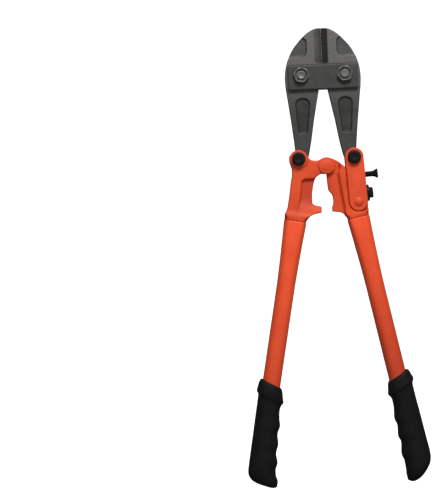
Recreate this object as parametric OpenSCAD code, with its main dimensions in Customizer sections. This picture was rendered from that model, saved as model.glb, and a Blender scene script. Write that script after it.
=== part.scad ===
// Bolt cutters, 24 inch class: two forged jaws between a pair of straps, two
// cast yokes hinged together at the centre, an adjuster arm on the right-hand
// side, tubular handles and moulded grips. The tool lies flat: +Y runs towards
// the jaw tips, +X to the adjuster side, +Z up. The origin is under the middle
// of the whole tool, on the surface it lies on.

/* [Jaws] */
// Thickness of the forged jaws
blade_t = 12.4; // [11.6:0.2:12.4]
// Distance from the jaw pivots to the jaw tips
jaw_reach = 62.5; // [61:0.5:64]
// Half the distance between the two jaw pivots
pivot_half = 29; // [28.5:0.5:29.5]
// Width of the ground bevel beside the cutting edge
bevel_w = 8.2; // [6:0.2:9]
// Half thickness of the cutting edge itself
edge_half = 1; // [0.4:0.1:1.5]
// Depth of the forged pockets in the jaws
pocket_d = 1.8; // [1:0.1:2.4]

/* [Straps and bolts] */
// Thickness of each strap plate
strap_t = 4.8; // [4:0.1:4.8]
// Diameter of the jaw bolts
jaw_bolt_d = 12; // [10:0.5:12]
// Across flats of the jaw bolt heads and nuts
jaw_hex = 19; // [18:0.5:19]
// Diameter of the tail bolts that join the jaws to the handles
tail_bolt_d = 10; // [8:0.5:10]
// Across flats of the tail bolt heads and nuts
tail_hex = 15; // [14:0.5:16]

/* [Handles] */
// Thickness of the cast yokes over their ears
yoke_t = 23; // [22:0.5:23]
// Outer diameter of the handle tubes
tube_d = 24.5; // [24:0.5:25]
// Wall of the handle tubes
tube_wall = 2; // [1.5:0.25:2.5]
// Largest thickness of the grips
grip_t = 36; // [34:0.5:36]
// Radial clearance of every turning fit
fit = 0.06; // [0.03:0.01:0.1]

/* [Hidden] */
$fn = 96;

// Frame: everything is drawn about the point midway between the jaw pivots,
// in the middle plane of the jaws, and is then put in place.
pivot_y = 242.5;
mid_z = 18;

core = blade_t / 2;          // half thickness of jaws, tongues and webs
slot = core + 0.3;           // half width of every fork slot
ear = yoke_t / 2;            // half thickness over the ears
strap_in = core + 0.2;
strap_out = strap_in + strap_t;
bolt_end = strap_out + 6;    // threaded ends of the jaw bolts

TX = 37; TY = -111;          // tail bolts at (+-TX, TY)
CY = -121;                   // centre pin at (0, CY)
P = [40.5, -171];            // adjuster pivot
pin_r = 4.5;                 // adjuster pin
cpin_r = 5;                  // centre pin

orange = [0.91, 0.29, 0.15];
steel = [0.29, 0.29, 0.285];
bright = [0.55, 0.55, 0.54];
black = [0.06, 0.06, 0.065];
rubber = [0.09, 0.09, 0.095];

// ---- outline helpers -------------------------------------------------------
function unit(v) = v / norm(v);
// points of the arc that rounds corner b between a and c
function corner(a, b, c, r, n) =
    let (u = unit([a[0] - b[0], a[1] - b[1]]), w = unit([c[0] - b[0], c[1] - b[1]]),
         h = acos(max(-1, min(1, u * w))) / 2)
    (r <= 0 || h > 89.3) ? [[b[0], b[1]]] :
    let (lim = 0.48 * min(norm([a[0] - b[0], a[1] - b[1]]), norm([c[0] - b[0], c[1] - b[1]])),
         t = min(r / tan(h), lim), q = t * tan(h),
         o = [b[0], b[1]] + unit(u + w) * (q / sin(h)),
         s = [b[0], b[1]] + u * t, e = [b[0], b[1]] + w * t,
         a0 = atan2(s[1] - o[1], s[0] - o[0]), a1 = atan2(e[1] - o[1], e[0] - o[0]),
         d = (a1 - a0 + 900) % 360 - 180)
    [for (i = [0:n]) o + q * [cos(a0 + d * i / n), sin(a0 + d * i / n)]];
// closed outline with every corner [x, y, radius] rounded
function rounded(p, n = 4) = let (m = len(p))
    [for (i = [0:m - 1]) each corner(p[(i + m - 1) % m], p[i], p[(i + 1) % m],
        len(p[i]) > 2 ? p[i][2] : 0, n)];
module slab(p, z0, z1, n = 4) {
    translate([0, 0, z0]) linear_extrude(z1 - z0) polygon(rounded(p, n));
}
module rod(x, y, r, z0, z1) {
    translate([x, y, z0]) cylinder(r = r, h = z1 - z0);
}
// hexagon whose corners are turned down on its outer face
module hex_nut(af, h, ch = 1) {
    intersection() {
        cylinder(d = af / cos(30), h = h, $fn = 6);
        union() {
            cylinder(d = af / cos(30) + 0.2, h = h - ch);
            translate([0, 0, h - ch]) cylinder(r1 = af / cos(30) / 2 + 0.1, r2 = af * 0.475, h = ch);
        }
    }
}
// link of two eyes joined by their common tangents
module link(c1, r1, c2, r2, z0, z1) {
    v = c2 - c1; d = norm(v); a = atan2(v[1], v[0]); b = acos((r1 - r2) / d);
    rod(c1[0], c1[1], r1, z0, z1);
    rod(c2[0], c2[1], r2, z0, z1);
    translate([0, 0, z0]) linear_extrude(z1 - z0) polygon([
        c1 + r1 * [cos(a + b), sin(a + b)], c1 + r1 * [cos(a - b), sin(a - b)],
        c2 + r2 * [cos(a - b), sin(a - b)], c2 + r2 * [cos(a + b), sin(a + b)]]);
}
module place() { translate([0, pivot_y, mid_z]) children(); }

// ---- jaws ------------------------------------------------------------------
// outline of the right jaw, from the tip round the outer edge to the tail
blade_pts = [
    [0.05, jaw_reach], [9, 61.8, 30], [18.5, 57, 40], [28, 48.3, 60], [36.5, 38.8, 60],
    [42.3, 29.5, 60], [47, 18.5, 60], [49.6, 8, 60], [50.6, -4, 60], [49.8, -17, 80],
    [47.6, -34, 200], [44.5, -60, 200], [41.8, -86, 100], [40.7, -99, 40], [40, -105],
    [30, -113], [28.5, -116.3], [23.6, -109.5, 2], [21.2, -100, 60], [18.4, -86, 100],
    [14, -60, 100], [10, -40, 100], [6, -20, 60], [2.6, -8, 10], [0.05, 0.5]];
upper_pocket = [[20, 46.5, 4], [20, 24, 8], [75, 25], [75, 95.5]];
tail_pocket = [[17.4, -30.2, 8.5], [38.8, -30.2, 8.5], [35.4, -77.5, 4], [23.4, -77.5, 4]];

module blade() {
    difference() {
        union() {
            slab(blade_pts, -core, core);
            rod(TX, TY, 10, -core, core);
        }
        // pivot and tail bores
        rod(pivot_half, 0, jaw_bolt_d / 2 + fit, -20, 20);
        rod(TX, TY, tail_bolt_d / 2 + fit, -20, 20);
        for (m = [0, 1]) mirror([0, 0, m]) {
            // ground bevel along the cutting edge
            translate([0, 70, 0]) rotate([90, 0, 0]) linear_extrude(53.2)
                polygon([[-1, edge_half - 1.05 * (core - edge_half) / bevel_w],
                         [0.05 + bevel_w, core + 0.01], [0.05 + bevel_w, core + 3], [-1, core + 3]]);
            // forged pockets
            slab(upper_pocket, core - pocket_d, core + 3, 6);
            slab(tail_pocket, core - pocket_d, core + 3, 6);
        }
    }
}
module blade_left() { color(steel) place() mirror([1, 0, 0]) blade(); }
module blade_right() { color(steel) place() blade(); }

// ---- straps, jaw bolts and nuts --------------------------------------------
module strap() {
    difference() {
        intersection() {
            slab([[-46.5, 14.5, 2], [46.5, 14.5, 2], [46.5, -19, 2], [-46.5, -19, 2]], strap_in, strap_out);
            // top edge is bevelled, the ends are eased
            rotate([90, 0, 90]) translate([0, 0, -60]) linear_extrude(120)
                polygon([[-19.5, strap_in - 1], [-19.5, strap_out - 0.6], [-18.9, strap_out + 0.01],
                         [12.6, strap_out + 0.01], [14.6, strap_out - 2.2], [14.6, strap_in - 1]]);
        }
        for (s = [-1, 1]) rod(s * pivot_half, 0, jaw_bolt_d / 2 + 0.05, 0, 30);
    }
}
module front_strap() { color(steel) place() strap(); }
module rear_strap() { color(steel) place() mirror([0, 0, 1]) strap(); }
// shank from the rear head through to the front nut, with a chamfered end
module jaw_bolt() {
    r = jaw_bolt_d / 2;
    rod(0, 0, r, -strap_out, bolt_end - 1);
    translate([0, 0, bolt_end - 1]) cylinder(r1 = r, r2 = r - 1, h = 1);
    translate([0, 0, -strap_out]) rotate([180, 0, 15]) hex_nut(jaw_hex, mid_z - strap_out, 1);
}
module jaw_bolts() {
    color(bright) place() for (s = [-1, 1]) translate([s * pivot_half, 0, 0]) jaw_bolt();
}
module jaw_nuts() {
    color(bright) place() for (s = [-1, 1]) translate([s * pivot_half, 0, strap_out])
        rotate([0, 0, s * 12]) difference() {
            hex_nut(jaw_hex, 5.8, 1.1);
            translate([0, 0, -1]) cylinder(r = jaw_bolt_d / 2 + 0.05, h = 10);
            // countersunk mouth
            translate([0, 0, 4.4]) cylinder(r1 = jaw_bolt_d / 2, r2 = jaw_bolt_d / 2 + 1.7, h = 1.7);
        }
}

// ---- handle frames ---------------------------------------------------------
// side -1 is the left handle, +1 the right one; inside along(), z runs down
// the handle from the level of the centre pin and x lies in the tool's plane
axis_x = [-30.8, 25.2];
axis_a = [-10.8, 11.45];
seam = [74, 72.5];
module along(side) {
    k = side < 0 ? 0 : 1;
    translate([axis_x[k], CY, 0]) rotate([0, 0, axis_a[k]]) rotate([90, 0, 0]) children();
}
// point of the tool plane at distance s along a handle and t to its +x side
function hp(side, s, t) = let (k = side < 0 ? 0 : 1, a = axis_a[k])
    [axis_x[k] + t * cos(a) + s * sin(a), CY + t * sin(a) - s * cos(a)];

tang_r = tube_d / 2 - tube_wall - 0.05;
mouth_w = 3;                 // extra half width of the tubes where they meet the yokes
flare_end = 170;             // where the swaged mouth has become round
tube_end = 402;              // lower end of the tubes, inside the grips
module tang(side) {
    s = seam[side < 0 ? 0 : 1];
    along(side) translate([0, 0, s - 6]) cylinder(r = tang_r, h = 44);
}

// ---- left yoke: a casting with a fork for the jaw tail and one for the ----
// ---- tongue of the right yoke -----------------------------------------------
yl_pts = [
    [-36, -100], [-48, -107], [-47.6, -117, 6], [-46.2, -124, 10], [-46.4, -132.5, 4], [-48.4, -142, 10],
    [-51.2, -160, 80], [-54.6, -177, 80], hp(-1, 66, -15.2), hp(-1, seam[0], -15), hp(-1, seam[0], 15),
    [-28.6, -192.5, 6], [-24, -187, 8], [-17, -184.6, 10], [-9, -183.6, 1.5], [-8.8, -175.3, 1.5],
    [-17.5, -173.2, 4], [-21, -170.8, 3], [-20.8, -158, 40], [-18.8, -146, 30], [-15.5, -136.5, 8],
    [-9, -132, 6], [-2, -131.2], [0, -111], [-5, -111.6, 8], [-12, -114.2, 12], [-20, -113.4, 12], [-27, -107]];
yl_pocket = [[-34.5, -137.5, 6], [-8, -137.5], [-8, -179.5], [-40, -179.5, 5], [-37.8, -163, 60]];
module yoke_left() {
    color(orange) place() difference() {
        union() {
            slab(yl_pts, -ear, ear);
            rod(-TX, TY, 12, -ear, ear);
            rod(0, CY, 10.3, -ear, ear);
            tang(-1);
        }
        // fork for the tail of the left jaw
        rod(-TX, TY, 11.6, -slot, slot);
        intersection() {
            rod(-TX, TY, 15, -slot, slot);
            slab([[-60, -113.6], [-10, -113.6], [-10, -90], [-60, -90]], -slot, slot);
        }
        slab([[-60, TY - 11.6], [-TX, TY - 11.6], [-TX, -90], [-60, -90]], -slot, slot);
        // fork for the tongue of the right yoke
        link([0, CY], 11.2, [-5.5, CY - 2.6], 11.4, -slot, slot);
        slab([[0, CY - 14.5], [20, CY - 14.5], [20, CY + 14], [-3, CY + 14], [-12, CY + 14]], -slot, slot);
        // bores
        rod(-TX, TY, tail_bolt_d / 2 + 0.05, -20, 20);
        rod(0, CY, cpin_r + 0.05, -20, 20);
        // cast pockets on both faces
        for (m = [0, 1]) mirror([0, 0, m]) slab(yl_pocket, 7, 20, 5);
    }
}

// ---- right yoke: tongue, web, rib and the seat of the adjuster arm ----------
web_pts = [
    [-0.6, -131], [0.2, -145, 20], [1, -153.2, 4], [3.6, -157, 3], [6.2, -160, 4], [7.2, -166, 10],
    [7.2, -172.4, 2], [5.4, -175.2, 1.5], [5.2, -182.6, 1.5], [13, -183.2, 10], [19, -184.8, 8],
    [24, -190], [30, -190], [30, -126], [24.4, -123.8, 1.5], [19.6, -120, 20], [14.6, -116, 20],
    [9.6, -112.4, 20], [4, -110.8, 10], [0, -110.7]];
rib_pts = [
    [13, -115], [16, -117], [19.6, -120, 20], [24.4, -123.8, 1.5], [25.4, -140, 60], [26, -155, 60],
    [26.4, -171, 12], [30, -181, 10], [40.7, -185.4, 14], [50, -182, 10], [52.6, -177.5, 1],
    [53.6, -183, 20], hp(1, seam[1] - 5, 15.2), hp(1, seam[1], 15), hp(1, seam[1], -15),
    [23.6, -189.5, 8], [20.6, -182, 8], [18.4, -170, 40], [16.2, -155, 40], [14.2, -140, 40], [12.4, -127, 10]];
// web between the cheeks of the adjuster arm, with the notch for its bridge
seat_pts = [
    [20, -128.4], [43.2, -128.4, 3], [45.6, -168.4, 0.5], [52.4, -169.2, 1], [53.2, -176, 1], [52, -186], [22, -190]];
module yoke_right() {
    color(orange) place() difference() {
        union() {
            difference() {
                slab(rib_pts, -ear, ear);
                // the ears of the left yoke swing here
                for (m = [0, 1]) mirror([0, 0, m])
                    link([0, CY], 12, [5.5, CY - 2.6], 12.2, core, ear + 1);
            }
            slab(web_pts, -core, core);
            rod(0, CY, 10.2, -core, core);
            slab(seat_pts, -core, core);
            tang(1);
        }
        // running slot of the centre pin
        link([0.2, CY - 0.1], cpin_r + 1.5, [4.2, CY - 1.9], cpin_r + 1.9, -20, 20);
        // adjuster pivot
        rod(P[0], P[1], pin_r + fit, -20, 20);
        // tapped hole of the lock bolt
        screw_line(lock_s) translate([0, 0, -11.4]) cylinder(r = lock_r + fit, h = 30);
    }
}

// ---- adjuster arm: two cheeks joined by a bridge on their outer edge --------
arm_a = atan2(P[1] - TY, P[0] - TX) + 90;   // lean of the arm
arm_r = 12.4;
screw_s = 24.5;              // adjusting screw, distance from the tail bolt
lock_s = 49.2;               // lock bolt, distance from the tail bolt
screw_r = 4;
lock_r = 4;
washer_t = 3.2;
// frame of a screw across the arm: z points outwards, origin on the arm's axis
module screw_line(s) {
    translate([TX, TY, 0]) rotate([0, 0, arm_a]) translate([0, -s, 0]) rotate([0, 90, 0]) children();
}
module adjuster_arm() {
    color(orange) place() difference() {
        link([TX, TY], arm_r, P, arm_r, -ear + 0.5, ear - 0.5);
        // channel between the cheeks
        translate([TX, TY, 0]) rotate([0, 0, arm_a])
            slab([[-30, 30], [30, 30], [30, -13.5], [8.4, -13.5], [8.4, -56.2], [30, -56.2], [30, -90], [-30, -90]],
                 -slot, slot);
        rod(TX, TY, tail_bolt_d / 2 + 0.05, -20, 20);
        rod(P[0], P[1], pin_r + 0.05, -20, 20);
        screw_line(screw_s) cylinder(r = screw_r + fit, h = 30);
        screw_line(lock_s) cylinder(r = lock_r + 0.8, h = 30);
    }
}

// ---- pins and bolts of the linkage ------------------------------------------
module domed(r, h) {
    R = (r * r + h * h) / (2 * h);
    intersection() {
        translate([0, 0, h - R]) sphere(r = R);
        cylinder(r = r, h = h + 1);
    }
}
module center_pin() {
    color(orange) place() translate([0, CY, 0]) {
        cylinder(r = cpin_r, h = 2 * ear, center = true);
        for (m = [0, 1]) mirror([0, 0, m]) translate([0, 0, ear]) domed(8.6, 2.2);
    }
}
module adjuster_pin() {
    color(orange) place() translate([P[0], P[1], 0]) {
        cylinder(r = pin_r, h = 2 * ear - 1, center = true);
        for (m = [0, 1]) mirror([0, 0, m]) translate([0, 0, ear - 0.5]) domed(6.6, 2.4);
    }
}
module shank_and_head(e) {
    translate([0, 0, -e - 5.6]) cylinder(r = tail_bolt_d / 2, h = 2 * e + 8);
    // hexagon on a round flange
    translate([0, 0, e]) {
        hex_nut(tail_hex, 6, 1.2);
        cylinder(r = 9.5, h = 1.2);
        translate([0, 0, 1.2]) cylinder(r1 = 9.5, r2 = 7.6, h = 1);
    }
}
module tail_nut(e) {
    mirror([0, 0, 1]) translate([0, 0, e]) difference() {
        hex_nut(tail_hex, 5, 1);
        translate([0, 0, -1]) cylinder(r = tail_bolt_d / 2 + 0.05, h = 10);
    }
}
module tail_bolt_left() { color(black) place() translate([-TX, TY, 0]) shank_and_head(ear); }
module tail_nut_left() { color(black) place() translate([-TX, TY, 0]) tail_nut(ear); }
module tail_bolt_right() { color(black) place() translate([TX, TY, 0]) shank_and_head(ear - 0.5); }
module tail_nut_right() { color(black) place() translate([TX, TY, 0]) tail_nut(ear - 0.5); }
// flared head and threaded shank; the domed tip stops just short of the web
tip_s = 6.75;
module adjusting_screw() {
    color(black) place() screw_line(screw_s) {
        translate([0, 0, tip_s]) cylinder(r1 = 2.6, r2 = screw_r, h = 1.4);
        translate([0, 0, tip_s + 1.4]) cylinder(r = screw_r, h = 16.2);
        translate([0, 0, tip_s + 17.6]) cylinder(r1 = screw_r, r2 = 6.2, h = 3.5);
        translate([0, 0, tip_s + 21.1]) difference() {
            cylinder(r = 6.2, h = 1.6);
            translate([0, 0, 0.6]) cylinder(d = 6 / cos(30), h = 2, $fn = 6);
        }
    }
}
module lock_bolt() {
    color(black) place() screw_line(lock_s) {
        translate([0, 0, -10]) cylinder(r = lock_r, h = 10 + arm_r + washer_t + 0.5);
        translate([0, 0, arm_r + washer_t + 0.3]) rotate([0, 0, 30]) hex_nut(12.6, 5, 1);
    }
}
module lock_washer() {
    color(black) place() screw_line(lock_s) translate([0, 0, arm_r]) difference() {
        cylinder(r = 11, h = washer_t);
        translate([0, 0, -1]) cylinder(r = lock_r + 0.5, h = 6);
    }
}

// ---- tubes -------------------------------------------------------------------
// closed skin over a list of rings of equal length
module skin(rings) {
    n = len(rings[0]); m = len(rings);
    polyhedron(points = [for (r = rings) each r], faces = concat(
        [[for (i = [0:n - 1]) i]],
        [for (j = [0:m - 2]) for (i = [0:n - 1]) [j * n + i, (j + 1) * n + i, j * n + (i + 1) % n]],
        [for (j = [0:m - 2]) for (i = [0:n - 1]) [j * n + (i + 1) % n, (j + 1) * n + i, (j + 1) * n + (i + 1) % n]],
        [[for (i = [n - 1:-1:0]) (m - 1) * n + i]]), convexity = 4);
}
module tube(side) {
    s0 = seam[side < 0 ? 0 : 1];
    r = tube_d / 2;
    along(side) difference() {
        union() {
            translate([0, 0, s0]) cylinder(r = r, h = tube_end - s0);
            // swaged mouth: widened in the plane of the tool, flattened across it
            intersection() {
                union() {
                    translate([0, 0, s0]) cylinder(r1 = r + mouth_w, r2 = r + mouth_w * 0.36, h = 45);
                    translate([0, 0, s0 + 45]) cylinder(r1 = r + mouth_w * 0.36, r2 = r - 0.2, h = flare_end - s0 - 45);
                }
                rotate([90, 0, 90]) translate([0, 0, -40]) linear_extrude(80)
                    polygon([[-ear + 0.2, s0 - 1], [ear - 0.2, s0 - 1], [r, flare_end + 1], [-r, flare_end + 1]]);
            }
        }
        cylinder(r = r - tube_wall, h = 500);
    }
}
module tube_left() { color(orange) place() tube(-1); }
module tube_right() { color(orange) place() tube(1); }

// ---- grips ---------------------------------------------------------------------
// stations: [distance along the handle, inner side, outer side, half thickness,
// slope of the station across the handle]
grip_l = [
    [292, 13.2, 13.2, 13.4, -0.34], [293, 14.6, 14.8, 15, -0.34], [303, 17.8, 17.4, 17.4, -0.33],
    [309.5, 19.4, 18, 17.8, -0.31], [313, 18, 15.4, 16.6, -0.28], [319, 16.4, 15.1, 16, -0.16],
    [326, 15.9, 15, 16, 0], [338, 17.4, 14.9, 16.4, 0], [347, 19.4, 14.8, 16.8, 0], [357, 17.7, 14.6, 16.6, 0],
    [372, 20.6, 14.5, 17.2, 0], [382, 19.5, 14.4, 17.2, 0], [397, 23.3, 14.2, 18, 0], [404, 22.1, 14.1, 18, 0],
    [411.5, 23.8, 13.8, 17.6, -0.06], [418, 27.4, 12.6, 16.6, -0.1], [422.5, 27.4, 9.6, 14, -0.15],
    [425.8, 23.6, 4, 9, -0.16], [426.8, 19, -2, 4, -0.16]];
grip_r = [
    [289, 13.2, 13.2, 13.4, -0.4], [290, 14.4, 15, 15, -0.4], [299, 16.8, 18.4, 17.4, -0.38],
    [304.5, 18, 19.9, 17.8, -0.35], [308.5, 16.4, 17.2, 16.6, -0.3], [316, 14.5, 16.9, 16, -0.16],
    [324, 14.5, 16.9, 16, 0], [334, 15.8, 17.2, 16.4, 0], [344, 17.5, 17.4, 16.8, 0], [353, 15.9, 17.5, 16.6, 0],
    [368, 18.2, 17.6, 17.2, 0], [375, 16.4, 17.7, 17.2, 0], [393, 19.6, 18.1, 18, 0], [401, 18.1, 17.8, 18, 0],
    [411, 18.6, 15.6, 17.6, -0.06], [418, 19.6, 11, 16.2, -0.1], [424, 19.6, 4.6, 13.4, -0.12],
    [428.4, 16.4, -3, 8, -0.1], [429.8, 13.6, -7.6, 3.6, -0.1]];
function supc(a, n) = sign(cos(a)) * pow(abs(cos(a)), 2 / n);
function sups(a, n) = sign(sin(a)) * pow(abs(sin(a)), 2 / n);
function grip_ring(g, side, n = 28) = [for (i = [0:n - 1]) let (a = -360 * i / n,
    c = (g[2] - g[1]) / 2, w = (g[2] + g[1]) / 2,
    t = c + w * supc(a, 2.3) * side, h = g[3] * grip_t / 36)
    [side * t, h * sups(a, 2.3), g[0] + g[4] * t]];
module grip(side, st) {
    along(side) difference() {
        skin([for (g = st) grip_ring(g, side)]);
        translate([0, 0, 250]) cylinder(r = tube_d / 2 + 0.05, h = tube_end - 250 + 0.05);
    }
}
module grip_left() { color(rubber) place() grip(-1, grip_l); }
module grip_right() { color(rubber) place() grip(1, grip_r); }

blade_left();
blade_right();
front_strap();
rear_strap();
jaw_bolts();
jaw_nuts();
yoke_left();
yoke_right();
center_pin();
adjuster_arm();
adjuster_pin();
tail_bolt_left();
tail_nut_left();
tail_bolt_right();
tail_nut_right();
adjusting_screw();
lock_bolt();
lock_washer();
tube_left();
tube_right();
grip_left();
grip_right();
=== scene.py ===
import math

import bpy
import numpy as np
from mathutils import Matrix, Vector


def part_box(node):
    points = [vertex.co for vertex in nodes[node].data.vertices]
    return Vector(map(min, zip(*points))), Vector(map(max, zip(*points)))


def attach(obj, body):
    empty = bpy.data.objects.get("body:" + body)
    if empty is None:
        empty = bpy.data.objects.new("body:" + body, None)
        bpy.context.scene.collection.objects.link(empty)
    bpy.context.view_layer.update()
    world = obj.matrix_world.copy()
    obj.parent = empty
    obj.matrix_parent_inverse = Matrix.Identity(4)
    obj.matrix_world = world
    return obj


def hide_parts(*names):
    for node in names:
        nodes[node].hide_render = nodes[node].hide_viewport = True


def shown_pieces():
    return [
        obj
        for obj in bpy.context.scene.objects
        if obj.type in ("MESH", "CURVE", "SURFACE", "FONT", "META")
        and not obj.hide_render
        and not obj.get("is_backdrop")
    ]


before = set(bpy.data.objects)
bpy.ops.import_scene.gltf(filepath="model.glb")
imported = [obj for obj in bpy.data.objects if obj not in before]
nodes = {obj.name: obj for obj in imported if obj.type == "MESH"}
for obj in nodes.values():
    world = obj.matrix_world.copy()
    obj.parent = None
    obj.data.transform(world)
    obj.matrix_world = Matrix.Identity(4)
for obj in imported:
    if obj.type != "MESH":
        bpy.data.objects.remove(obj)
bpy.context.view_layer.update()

import openvdb
from mathutils import Matrix, Vector

# ---------------------------------------------------------------------------
# Frame: all shapes are drawn in millimetres about the point midway between the
# jaw pivots, in the middle plane of the jaws, as in part.scad
# ---------------------------------------------------------------------------
jb_lo, jb_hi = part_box("jaw_bolts")
ORIGIN = np.array([0.0, (jb_lo.y + jb_hi.y) / 2, jb_lo.z + 0.018])

CORE, SLOT, EAR = 6.2, 6.5, 11.5
STRAP_IN, STRAP_OUT = 6.4, 11.2
PIVOT = 29.0
TX, TY, CY = 37.0, -111.0, -121.0
T1, T2, C, P = (-TX, TY), (TX, TY), (0.0, CY), (40.5, -171.0)
AXIS_X, AXIS_A, SEAM = (-30.8, 25.2), (-10.8, 11.45), (74.0, 72.5)
TUBE_R, TUBE_WALL, TUBE_END, FLARE_END = 12.25, 2.0, 402.0, 170.0
ARM_A = math.atan2(P[1] - TY, P[0] - TX) + math.pi / 2
ARM_R, SCREW_S, LOCK_S, TIP_S = 12.4, 24.5, 49.2, 6.75
WASHER_T = 3.2


# ---------------------------------------------------------------------------
# Outlines
# ---------------------------------------------------------------------------
def unit(v):
    return v / np.hypot(*v)


def rounded(pts, n=8):
    """Closed outline with every corner [x, y, radius] rounded, as in part.scad."""
    out = []
    m = len(pts)
    for i in range(m):
        a, b, c = (np.array(pts[j][:2], float) for j in ((i - 1) % m, i, (i + 1) % m))
        r = pts[i][2] if len(pts[i]) > 2 else 0
        u, w = unit(a - b), unit(c - b)
        h = math.acos(max(-1, min(1, float(u @ w)))) / 2
        if r <= 0 or math.degrees(h) > 89.3:
            out.append(b)
            continue
        lim = 0.48 * min(np.hypot(*(a - b)), np.hypot(*(c - b)))
        t = min(r / math.tan(h), lim)
        q = t * math.tan(h)
        o = b + unit(u + w) * (q / math.sin(h))
        s, e = b + u * t, b + w * t
        a0 = math.atan2(*(s - o)[::-1])
        a1 = math.atan2(*(e - o)[::-1])
        d = (a1 - a0 + 5 * math.pi) % (2 * math.pi) - math.pi
        for k in range(n + 1):
            f = a0 + d * k / n
            out.append(o + q * np.array([math.cos(f), math.sin(f)]))
    return np.array(out)


def hp(side, s, t):
    k = 0 if side < 0 else 1
    a = math.radians(AXIS_A[k])
    return [AXIS_X[k] + t * math.cos(a) + s * math.sin(a), CY + t * math.sin(a) - s * math.cos(a)]


BLADE = [
    [0.05, 62.5], [9, 61.8, 30], [18.5, 57, 40], [28, 48.3, 60], [36.5, 38.8, 60],
    [42.3, 29.5, 60], [47, 18.5, 60], [49.6, 8, 60], [50.6, -4, 60], [49.8, -17, 80],
    [47.6, -34, 200], [44.5, -60, 200], [41.8, -86, 100], [40.7, -99, 40], [40, -105],
    [30, -113], [28.5, -116.3], [23.6, -109.5, 2], [21.2, -100, 60], [18.4, -86, 100],
    [14, -60, 100], [10, -40, 100], [6, -20, 60], [2.6, -8, 10], [0.05, 0.5]]
UPPER_POCKET = [[20, 46.5, 4], [20, 24, 8], [75, 25], [75, 95.5]]
TAIL_POCKET = [[17.4, -30.2, 8.5], [38.8, -30.2, 8.5], [35.4, -77.5, 4], [23.4, -77.5, 4]]
YL = [
    [-36, -100], [-48, -107], [-47.6, -117, 6], [-46.2, -124, 10], [-46.4, -132.5, 4], [-48.4, -142, 10],
    [-51.2, -160, 80], [-54.6, -177, 80], hp(-1, 66, -15.2), hp(-1, 80, -14.9), hp(-1, 80, 14.9), hp(-1, 72, 15),
    [-28.6, -192.5, 6], [-24, -187, 8], [-17, -184.6, 10], [-9, -183.6, 1.5], [-8.8, -175.3, 1.5],
    [-17.5, -173.2, 4], [-21, -170.8, 3], [-20.8, -158, 40], [-18.8, -146, 30], [-15.5, -136.5, 8],
    [-9, -132, 6], [-2, -131.2], [0, -111], [-5, -111.6, 8], [-12, -114.2, 12], [-20, -113.4, 12], [-27, -107]]
YL_POCKET = [[-34.5, -137.5, 6], [-8, -137.5], [-8, -179.5], [-40, -179.5, 5], [-37.8, -163, 60]]
WEB = [
    [-0.6, -131], [0.2, -145, 20], [1, -153.2, 4], [3.6, -157, 3], [6.2, -160, 4], [7.2, -166, 10],
    [7.2, -172.4, 2], [5.4, -175.2, 1.5], [5.2, -182.6, 1.5], [13, -183.2, 10], [19, -184.8, 8],
    [24, -190], [30, -190], [30, -126], [24.4, -123.8, 1.5], [19.6, -120, 20], [14.6, -116, 20],
    [9.6, -112.4, 20], [4, -110.8, 10], [0, -110.7]]
RIB = [
    [13, -115], [16, -117], [19.6, -120, 20], [24.4, -123.8, 1.5], [25.4, -140, 60], [26, -155, 60],
    [26.4, -171, 12], [30, -181, 10], [40.7, -185.4, 14], [50, -182, 10], [52.6, -177.5, 1],
    [53.6, -183, 20], hp(1, 67.5, 15.2), hp(1, 79, 14.9), hp(1, 79, -14.9), hp(1, 70, -15),
    [23.6, -189.5, 8], [20.6, -182, 8], [18.4, -170, 40], [16.2, -155, 40], [14.2, -140, 40], [12.4, -127, 10]]
SEAT = [
    [20, -128.4], [43.2, -128.4, 3], [45.6, -168.4, 0.5], [52.4, -169.2, 1], [53.2, -176, 1], [52, -186], [22, -190]]


# ---------------------------------------------------------------------------
# Solid modelling on distance fields, for castings, forgings and bolts: real
# fillets and eased edges, meshed by OpenVDB
# ---------------------------------------------------------------------------
def smin(a, b, k):
    h = np.maximum(k - np.abs(a - b), 0) / k
    return np.minimum(a, b) - h * h * (k / 4)


def smax(a, b, k):
    return -smin(-a, -b, k)


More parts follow.
